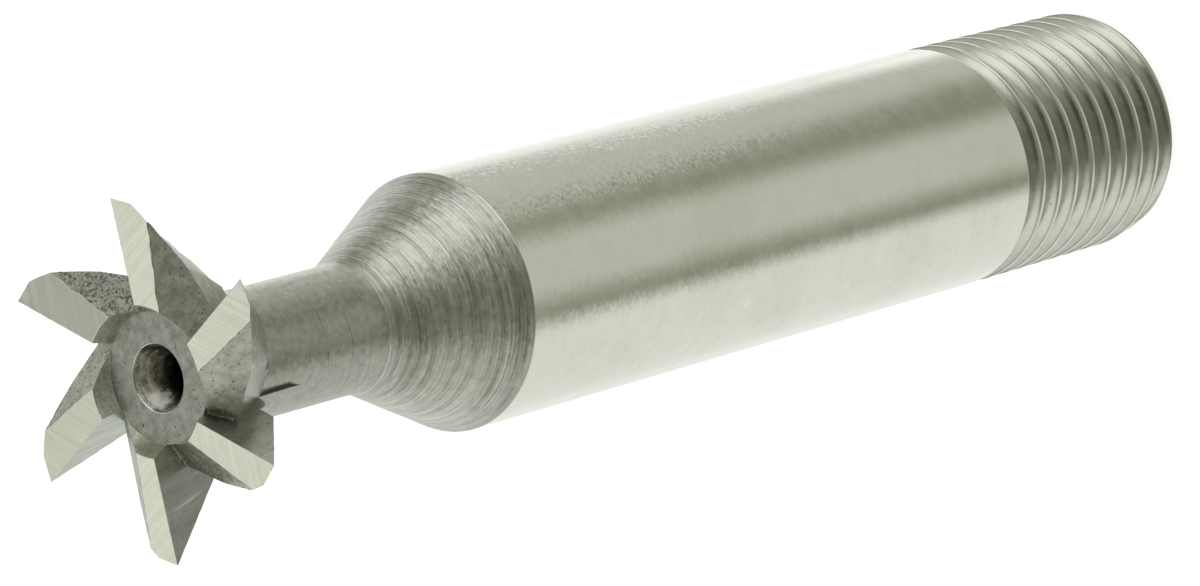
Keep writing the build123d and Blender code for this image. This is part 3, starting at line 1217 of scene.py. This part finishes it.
# Larger differences of tone: a thin film on shank, thread and cone, painted light that makes one side of the
# neck lighter, and the darker top and rim of the cone
broadTones = {
    "filmColour": (0.60, 0.60, 0.47),
    "filmShare": 0.12,
    "filmRate": 0.16,
    "filmLimits": (0.48, 0.66),
    "neckLitAzimuth": 58.0,
    "neckReach": 56.0,
    "neckPaintedLight": 1.75,
    "coneTop": (53.0, 55.0),
    "coneTopShare": 0.8,
    "coneRim": (48.8, 50.8),
    "coneRimShare": 0.9,
}

# Small stains: middle in millimetres, half size round and along the axis, colour, share
stains = {
    "shank": [
        ((2.67, -5.37, 33.35), 0.42, 0.36, (0.74, 0.70, 0.50), 0.5),
        ((4.24, -4.24, 46.7), 0.25, 0.4, (0.40, 0.40, 0.32), 0.35),
    ],
    "cone": [
        ((3.48, -2.53, 52.5), 0.32, 0.08, (0.26, 0.19, 0.11), 0.7),
        ((2.21, -3.97, 52.05), 0.3, 0.06, (0.15, 0.15, 0.12), 0.7),
    ],
}
stainEdge = {"noise": (4.0, 2.0, 0.6, 0.9), "reach": (0.4, 1.0)}

# Small dents across the shank, drawn only in colour as a painted highlight line with a painted shadow line
# beside it: azimuth in degrees and height of both ends, half width, strength
dentLightAndShade = [
    (39.0, 40.3, 27.5, 38.3, 0.06, 0.55),
    (35.5, 36.6, 29.0, 35.7, 0.05, 0.4),
    (39.0, 34.6, 26.5, 33.8, 0.06, 0.6),
]
dentLineLook = {
    # The pale colour is the painted highlight of a dent, the dim one its painted shadow
    "pale": (0.92, 0.93, 0.87),
    "dim": (0.34, 0.35, 0.29),
    "bend": (0.9, 2.0, 0.5, 0.7),
    "fadeIn": (-0.1, 0.3),
    "fadeOut": (0.7, 1.1),
    "core": 0.3,
}


def borePaintedGlintSpot(tree, place):
    away = vectorCalc(tree, "DISTANCE", place, boreShadeAndGlint["spotMiddle"])["Value"]
    away = ragged(tree, place, away, boreShadeAndGlint["spotNoise"])
    return ramp(tree, away, *boreShadeAndGlint["spotReach"], boreShadeAndGlint["spotShare"], 0.0)


def ringLines(tree, place, colour, name):
    # Thin lines that run round a turned part and break off here and there
    look = lineLook
    heights, wobble, paint = toolLines[name]
    height = ragged(tree, place, split(tree, place)[2], (*look["sway"], wobble))
    width = look["width"]
    for i, line in enumerate(heights):
        away = calc(tree, "ABSOLUTE", minus(tree, height, line))
        share = ramp(tree, away, look["core"] * width, width, look["share"], 0.0)
        moved = vectorCalc(tree, "ADD", place, (look["shift"] * i, 0.0, 0.0))[0]
        breaks = ramp(tree, noise(tree, moved, look["breakRate"], 2.0), *look["breaks"])
        share = times(tree, share, breaks)
        colour = blend(tree, share, colour, paint)
    return colour


def addStains(tree, name, place, colour):
    for middle, around, upward, stainColour, share in stains.get(name, ()):
        off = vectorCalc(tree, "SUBTRACT", place, middle)[0]
        off = vectorCalc(tree, "MULTIPLY", off, (1.0 / around, 1.0 / around, 1.0 / upward))[0]
        away = vectorCalc(tree, "LENGTH", off)["Value"]
        away = ragged(tree, place, away, stainEdge["noise"])
        colour = blend(tree, ramp(tree, away, *stainEdge["reach"], share, 0.0), colour, stainColour)
    return colour


def addTipTint(tree, place, colour):
    outward = ramp(tree, radiusOf(tree, split(tree, place)), *tipTint["reach"])
    patch = ramp(tree, noise(tree, place, tipTint["patchRate"], 3.0), *tipTint["patchLimits"])
    share = times(tree, times(tree, outward, patch), tipTint["share"])
    return blend(tree, share, colour, tipTint["colour"])


# Painted shade: a near-black colour laid round points on the root line of each gash
def addGashRootShade(tree, place, colour):
    for key, wayOut, radius, depth in gashRootShade:
        start, finish = gashRootEnds[key]
        away = vectorCalc(tree, "DISTANCE", place, start.lerp(finish, wayOut))["Value"]
        away = ragged(tree, place, away, (*rootShadeLook["noise"], rootShadeLook["ragged"] * radius))
        share = ramp(tree, away, rootShadeLook["core"] * radius, radius, depth, 0.0)
        colour = blend(tree, share, colour, rootShadeLook["colour"])
    return colour


def toneByHeight(tree, place, colour, heights, bottom, top):
    gain = ramp(tree, split(tree, place)[2], *heights, bottom, top)
    return blend(tree, 1.0, colour, gain, "MULTIPLY")


def zoneExtras(tree, name, place, colour):
    # Tints, stains, lines, painted shade and painted light that only some zones have
    tones = broadTones
    if name in ("land", "edge"):
        return addTipTint(tree, place, colour)
    if name in ("heel", "rake"):
        return addGashRootShade(tree, place, colour)
    if name == "bore":
        # Painted shade towards the bottom of the bore, then the painted glint on its wall
        colour = toneByHeight(tree, place, colour, boreShadeAndGlint["heights"], boreShadeAndGlint["dark"], 1.0)
        return blend(tree, borePaintedGlintSpot(tree, place), colour, boreShadeAndGlint["paintedGlintColour"])
    if name == "neck":
        # Painted light: the neck is painted lighter on the side towards its lit azimuth
        azimuth = azimuthOf(tree, split(tree, place))
        off = calc(tree, "ABSOLUTE", minus(tree, azimuth, tones["neckLitAzimuth"]))
        gain = ramp(tree, off, 0.0, tones["neckReach"], tones["neckPaintedLight"], 1.0)
        colour = blend(tree, 1.0, colour, gain, "MULTIPLY")
        return ringLines(tree, place, colour, "neck")
    if name in ("shank", "thread", "cone"):
        patch = ramp(tree, noise(tree, place, tones["filmRate"], 3.0), *tones["filmLimits"])
        share = times(tree, patch, tones["filmShare"])
        colour = blend(tree, share, colour, tones["filmColour"], "MULTIPLY")
    if name == "cone":
        colour = toneByHeight(tree, place, colour, tones["coneTop"], 1.0, tones["coneTopShare"])
        colour = toneByHeight(tree, place, colour, tones["coneRim"], tones["coneRimShare"], 1.0)
        colour = ringLines(tree, place, colour, "cone")
        colour = ringLines(tree, place, colour, "conePaintedHighlights")
    colour = addStains(tree, name, place, colour)
    return addDentLightAndShade(tree, place, colour) if name == "shank" else colour


def addDentLightAndShade(tree, place, colour):
    # Each dent is a pale painted highlight line with a dim painted shadow line beside it
    radius = bodyShape["shankRadius"]
    parts = split(tree, place)
    around = times(tree, azimuthOf(tree, parts), math.radians(radius))
    flat = join(tree, around, parts[2])
    *bendNoise, bendReach = dentLineLook["bend"]
    bend = centred(tree, noise(tree, place, *bendNoise), bendReach)
    for startAngle, startHeight, endAngle, endHeight, halfWidth, strength in dentLightAndShade:
        start = Vector((math.radians(startAngle) * radius, startHeight, 0.0))
        run = Vector((math.radians(endAngle) * radius, endHeight, 0.0)) - start
        length = run.length
        run.normalize()
        off = vectorCalc(tree, "SUBTRACT", flat, start)[0]
        along = vectorCalc(tree, "DOT_PRODUCT", off, run)["Value"]
        across = vectorCalc(tree, "DOT_PRODUCT", off, Vector((-run.y, run.x, 0.0)))["Value"]
        across = plus(tree, across, bend)
        fadeIn = [share * length for share in dentLineLook["fadeIn"]]
        fadeOut = [share * length for share in dentLineLook["fadeOut"]]
        inside = times(tree, ramp(tree, along, *fadeIn), ramp(tree, along, *fadeOut, 1.0, 0.0))
        for shift, lineColour in ((-halfWidth, dentLineLook["pale"]), (halfWidth, dentLineLook["dim"])):
            away = calc(tree, "ABSOLUTE", plus(tree, across, shift))
            share = ramp(tree, away, dentLineLook["core"] * halfWidth, halfWidth, strength, 0.0)
            colour = blend(tree, times(tree, share, inside), colour, lineColour)
    return colour


for name in zoneNames:
    cutterMesh.materials.append(steelFinish(name))
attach(cutter, "root")
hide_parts(cutterNode)
print("finish laid")

# Pale floor, in metres: nearly white to the camera, with the cutter's own soft shadow
floorLook = {
    "halfSide": 2.0,
    "ownLight": 0.84,
    "paint": (0.42, 0.42, 0.41),
}


def makeFloor(look):
    s = look["halfSide"]
    mesh = bpy.data.meshes.new("studio_floor")
    mesh.from_pydata([(-s, -s, 0), (s, -s, 0), (s, s, 0), (-s, s, 0)], [], [(0, 1, 2, 3)])
    floor = bpy.data.objects.new("studio_floor", mesh)
    scene.collection.objects.link(floor)
    material = bpy.data.materials.new("studio_floor")
    material.use_nodes = True
    tree = material.node_tree
    tree.nodes.remove(tree.nodes["Principled BSDF"])
    out = tree.nodes["Material Output"]
    isCamera = addNode(tree, "ShaderNodeLightPath").outputs["Is Camera Ray"]
    paint = addNode(tree, "ShaderNodeBsdfDiffuse", {"Color": (*look["paint"], 1.0)})
    own = times(tree, isCamera, look["ownLight"])
    glow = addNode(tree, "ShaderNodeEmission", {"Color": (1, 1, 1, 1), "Strength": own})
    both = addNode(tree, "ShaderNodeAddShader", {0: paint.outputs[0], 1: glow.outputs[0]})
    tree.links.new(both.outputs[0], out.inputs["Surface"])
    mesh.materials.append(material)
    floor.visible_glossy = False


makeFloor(floorLook)
print("floor laid")

# Soft boxes round the cutter, by azimuth and elevation of their middle, half width, half height,
# softness across and up, brightness over the dim room, and lean of the box in degrees per degree
softBoxes = {
    "lowBehind": (142, -50, 39, 36, 17, 16, 0.80, 0.0),
    "lowSide": (84, -50, 32, 30, 10, 10, 0.35, -5.0),
    "lowFront": (-18, -50, 29, 17, 15, 7, 0.39, 0.0),
    "lowFar": (-122, -50, 55, 40, 11, 11, 0.68, 0.0),
    "side": (40, 2, 24, 24, 14, 14, 0.85, 0.0),
    "over": (166, 46, 26, 20, 9, 9, 0.14, 0.0),
    "rightDim": (92, 30, 36, 16, 14, 14, -0.20, 0.0),
    "overLeft": (-122, 56, 34, 14, 8, 8, 0.29, 0.0),
    "sideFar": (4, 2, 12, 24, 14, 14, 0.28, 0.0),
}

# The room behind the boxes: brightness below and above, and the elevations where it changes
roomLight = {
    "low": 0.37,
    "dark": 0.36,
    "bright": 0.84,
    "darkMiddle": (-28, 38),
    "darkReach": (42, 60),
    "lowReach": (-32, -4),
    "levelReach": (0, 28),
    "levelShare": 0.58,
    "topReach": (63, 72),
    "topShare": 0.12,
    "leanReach": 6.0,
    "tintReach": (0.35, 0.95),
    "dimTint": (1.0, 0.985, 0.87),
    "brightTint": (0.988, 1.0, 0.99),
}


def roomBrightness(tree, room, ray, elevation):
    # The upper half is bright apart from the side where the camera stood
    cosine = vectorCalc(tree, "DOT_PRODUCT", ray, direction(*room["darkMiddle"]))["Value"]
    reach = calc(tree, "DEGREES", calc(tree, "ARCCOSINE", cosine))
    upper = ramp(tree, reach, *room["darkReach"], room["dark"], room["bright"])
    upper = times(tree, upper, ramp(tree, elevation, *room["levelReach"], room["levelShare"], 1.0))
    upper = times(tree, upper, ramp(tree, elevation, *room["topReach"], 1.0, room["topShare"]))
    share = ramp(tree, elevation, *room["lowReach"])
    light = times(tree, upper, share)
    return plus(tree, light, times(tree, minus(tree, 1.0, share), room["low"]))


def boxBrightness(tree, box, leanReach, azimuth, elevation):
    az, el, halfWidth, halfHeight, softAcross, softUp, strength, lean = box
    above = calc(tree, "MAXIMUM", minus(tree, elevation, el), -leanReach)
    above = calc(tree, "MINIMUM", above, leanReach)
    middle = calc(tree, "MULTIPLY_ADD", above, lean, az)
    around = calc(tree, "WRAP", minus(tree, azimuth, middle), 180.0, -180.0)
    around = calc(tree, "ABSOLUTE", around)
    across = ramp(tree, around, halfWidth - softAcross, halfWidth + softAcross, 1.0, 0.0)
    off = calc(tree, "ABSOLUTE", minus(tree, elevation, el))
    up = ramp(tree, off, halfHeight - softUp, halfHeight + softUp, 1.0, 0.0)
    return times(tree, times(tree, across, up), strength)


def makeWorld(room, boxes):
    world = bpy.data.worlds.new("studio")
    scene.world = world
    world.use_nodes = True
    tree = world.node_tree
    back = tree.nodes["Background"]
    ray = addNode(tree, "ShaderNodeTexCoord").outputs["Generated"]
    parts = split(tree, ray)
    azimuth = azimuthOf(tree, parts)
    elevation = calc(tree, "DEGREES", calc(tree, "ARCSINE", parts[2]))
    light = roomBrightness(tree, room, ray, elevation)
    for box in boxes.values():
        light = plus(tree, light, boxBrightness(tree, box, room["leanReach"], azimuth, elevation))
    tint = blend(tree, ramp(tree, light, *room["tintReach"]), room["dimTint"], room["brightTint"])
    tree.links.new(tint, back.inputs["Color"])
    tree.links.new(light, back.inputs["Strength"])
    white = addNode(tree, "ShaderNodeBackground", {"Color": (1, 1, 1, 1), "Strength": 1.0})
    isCamera = addNode(tree, "ShaderNodeLightPath").outputs["Is Camera Ray"]
    mixed = addNode(tree, "ShaderNodeMixShader", {0: isCamera, 1: back.outputs[0], 2: white.outputs[0]})
    tree.links.new(mixed.outputs[0], tree.nodes["World Output"].inputs["Surface"])


makeWorld(roomLight, softBoxes)

# One soft lamp stands for the window above the work and gives the shadow on the floor. Its
# distance and side are metres, its power is watts
keyLamp = {"azimuth": 67, "elevation": 61, "distance": 0.6, "side": 0.32, "power": 0.20}


def makeLamp(setup):
    data = bpy.data.lights.new("softKey", "AREA")
    data.size = setup["side"]
    data.energy = setup["power"]
    lamp = bpy.data.objects.new("softKey", data)
    scene.collection.objects.link(lamp)
    towards = direction(setup["azimuth"], setup["elevation"])
    middle = Vector((0, 0, 0.5 * cutterHeight * mm))
    lamp.location = middle + towards * setup["distance"]
    lamp.rotation_euler = (-towards).to_track_quat("-Z", "Y").to_euler()


makeLamp(keyLamp)
scene.view_settings.view_transform = "Standard"
print("light set")
